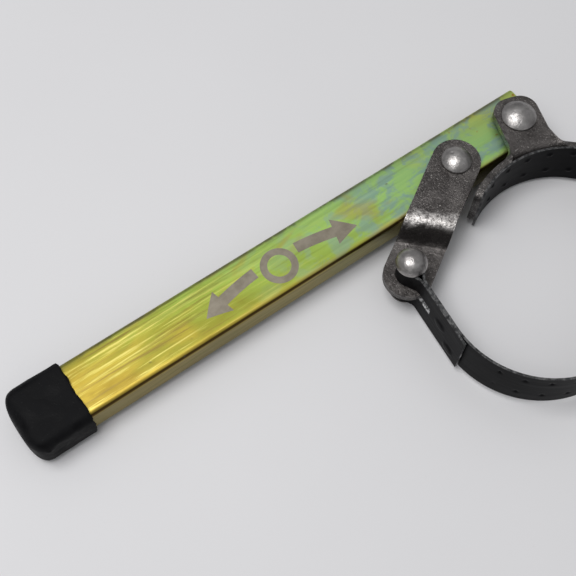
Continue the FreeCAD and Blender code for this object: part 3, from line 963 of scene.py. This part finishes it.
def strip_faces(path, down, levels, travelled):
    """Quads between the strip's points, left out where the slot is, and each one's strip coordinates."""
    faces, strip = [], []
    columns = len(levels)
    for row in range(len(path) - 1):
        distance = near_loop((path[row] + path[row + 1]) / 2, down)
        open_here = distance is not None and distance < SLOT_END
        for column in range(columns - 1):
            if open_here and abs(levels[column] + levels[column + 1]) / 2 < SLOT_HALF:
                continue
            start = row * columns + column
            faces.append((start, start + 1, start + columns + 1, start + columns))
            corners = ((row, column), (row, column + 1), (row + 1, column + 1), (row + 1, column))
            strip += [(travelled[r], levels[c]) for r, c in corners]
    return faces, strip


def band(material, edge_material, slot_highlight_material):
    path, down = band_path()
    levels = strip_levels()
    travelled = [0.0]
    for first, second in zip(path, path[1:]):
        travelled.append(travelled[-1] + (second - first).length)
    points = strip_points(path, down, levels, travelled)
    faces, strip = strip_faces(path, down, levels, travelled)
    mesh = bpy.data.meshes.new("spring_band")
    mesh.from_pydata([point * MM for point in points], [], faces)
    layer = mesh.uv_layers.new(name="strip")
    layer.data.foreach_set("uv", [value * MM for corner in strip for value in corner])
    made = bmesh.new()
    made.from_mesh(mesh)
    bmesh.ops.delete(made, geom=[v for v in made.verts if not v.link_faces], context="VERTS")
    made.to_mesh(mesh)
    made.free()
    for each in (material, edge_material, slot_highlight_material):
        mesh.materials.append(each)
    piece = bpy.data.objects.new("spring_band", mesh)
    COLLECTION.objects.link(piece)
    thicken(piece, STRIP, rim=1)
    slot_reach = (BAND_PIVOT.x + LOOP_MID) * MM
    # the slot's edges take the painted highlight material
    for polygon in piece.data.polygons:
        in_slot = abs(polygon.center.z) < (SLOT_HALF + 0.1) * MM and polygon.center.x < slot_reach
        if polygon.material_index == 1 and in_slot:
            polygon.material_index = 2
    shade(piece, 40)
    return piece


# ---------------------------------------------------------------- the object

zinc = zinc_material()
rubber = rubber_material()
plate_dark, plate_light = rgb(0.050, 0.045, 0.043), rgb(0.125, 0.115, 0.110)
edge_dark, edge_light = rgb(0.045, 0.041, 0.040), rgb(0.12, 0.112, 0.107)
steel = dark_steel_material("dark_plate_steel", plate_dark, plate_light)
# the link's steel carries the painted crest highlight and slope shade
link_steel = dark_steel_material("dark_link_steel", plate_dark, plate_light, crest=True)
# sheared edges: the same steel with more painted glints
steel_rim = dark_steel_material("sheared_plate_edge", edge_dark, edge_light, rim=0.25)
bright = rivet_material()
black = band_material()
# strip edges: worn metal lightened as a painted highlight
worn_lit_strip_edge = edge_wear_and_highlight_material("strip_edge_wear_and_highlight", 0.17)
# slot edges: near-white painted highlight
slot_edge_highlight = edge_wear_and_highlight_material("slot_edge_painted_highlight", 0.75)
etched = etched_material()

pieces = [
    (handle_tube(zinc), "handle", "zinc_tube", ["handle_tube"]),
    (end_cap(rubber), "handle", "rubber", ["end_cap"]),
    (etched_mark(etched), "handle", "zinc_tube", []),
    (bracket(steel, steel_rim), "bracket", "dark_steel", ["anchor_bracket"]),
    (link(link_steel, steel_rim), "link", "dark_steel", ["link"]),
    (bracket_rivet(bright), "handle", "rivet_steel", ["bracket_rivet"]),
    (link_rivet(bright), "handle", "rivet_steel", ["link_rivet"]),
    (band_rivet(bright), "link", "rivet_steel", ["band_rivet"]),
]
for piece, body, slot, nodes in pieces:
    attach(piece, body)
    if nodes:
        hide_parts(*nodes)

spring = band(black, worn_lit_strip_edge, slot_edge_highlight)
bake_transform(spring)
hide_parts("band_anchor_half", "band_free_half")

# ---------------------------------------------------------------- floor, light and camera

def floor():
    """Plane through the three lowest points: the two deep rivets' lower heads and the cap."""
    feet = [
        Vector((BRACKET_PIVOT.x, BRACKET_PIVOT.y, node_box("bracket_rivet")[0].z)),
        Vector((BAND_PIVOT.x, BAND_PIVOT.y, RIVET_LOW.z)),
        Vector((CAP_LOW.x + 8, (CAP_LOW.y + CAP_HIGH.y) / 2, CAP_LOW.z)),
    ]
    up = (feet[1] - feet[0]).cross(feet[2] - feet[0]).normalized()
    up *= math.copysign(1, up.z)
    side = Vector((1, 0, 0))
    side = (side - up * side.dot(up)).normalized()
    ahead = up.cross(side)
    clear, half = 0.1, 1600
    middle = feet[0] - up * clear
    corners = ((-1, -1), (1, -1), (1, 1), (-1, 1))
    points = [middle + side * (a * half) + ahead * (b * half) for a, b in corners]
    piece = new_mesh("table_top", points, [(0, 1, 2, 3)], [floor_material()])
    if piece.data.polygons[0].normal.z < 0:
        piece.data.flip_normals()


def lamp(name, target, direction, distance, size, power):
    """Rectangular softbox that faces the target from a direction and a distance."""
    data = bpy.data.lights.new(name, "AREA")
    data.shape = "RECTANGLE"
    data.size, data.size_y = size
    data.energy = power
    item = bpy.data.objects.new(name, data)
    COLLECTION.objects.link(item)
    way = Vector(direction).normalized()
    item.location = Vector(target) + way * distance
    item.rotation_euler = way.to_track_quat("Z", "Y").to_euler()


def studio_world():
    """Grey room light that grows with height; the camera itself sees one pale level."""
    world = bpy.data.worlds.new("studio")
    world.use_nodes = True
    tree = world.node_tree
    room = tree.nodes["Background"]
    room.inputs["Color"].default_value = rgb(0.97, 0.98, 1.0)
    direction = tree.nodes.new("ShaderNodeTexCoord")
    height = tree.nodes.new("ShaderNodeSeparateXYZ")
    tree.links.new(direction.outputs["Generated"], height.inputs[0])
    light = tree.nodes.new("ShaderNodeMapRange")
    for socket, value in (("From Min", -0.1), ("From Max", 0.9), ("To Min", 0.13), ("To Max", 0.52)):
        light.inputs[socket].default_value = value
    tree.links.new(height.outputs["Z"], light.inputs["Value"])
    rays = tree.nodes.new("ShaderNodeLightPath")
    # sockets 2 and 3 and output 0 are a mix node's plain number ones
    seen = tree.nodes.new("ShaderNodeMix")
    tree.links.new(rays.outputs["Is Camera Ray"], seen.inputs[0])
    tree.links.new(light.outputs[0], seen.inputs[2])
    seen.inputs[3].default_value = 0.72
    tree.links.new(seen.outputs[0], room.inputs["Strength"])
    bpy.context.scene.world = world


def photo_camera():
    """The camera that was fitted to the photograph; angles in degrees, place in metres."""
    heading, pitch, roll = (math.radians(value) for value in (37.789, 65.466, 2.996))
    place = Vector((-0.17712, -0.07613, 0.32670))
    flat = math.cos(pitch)
    look = Vector((math.sin(heading) * flat, math.cos(heading) * flat, -math.sin(pitch)))
    level = Vector((math.cos(heading), -math.sin(heading), 0))
    right = level * math.cos(roll) + level.cross(look) * math.sin(roll)
    data = bpy.data.cameras.new("camera")
    data.sensor_width = 36.0
    data.lens = 69.34
    data.clip_start = 0.01
    camera = bpy.data.objects.new("camera", data)
    COLLECTION.objects.link(camera)
    turn = Matrix((right, right.cross(look), -look)).transposed().to_4x4()
    camera.matrix_world = Matrix.Translation(place) @ turn
    bpy.context.scene.camera = camera


floor()
MIDDLE = (-0.06, 0.02, 0.0)
lamp("overhead_softbox", MIDDLE, (-0.27, 0.14, 0.95), distance=0.9, size=(0.42, 0.42), power=4.7)
lamp("left_softbox", MIDDLE, (-0.50, -0.12, 0.85), distance=1.0, size=(0.26, 0.26), power=0.75)
studio_world()
photo_camera()
bpy.context.scene.view_settings.view_transform = "Standard"
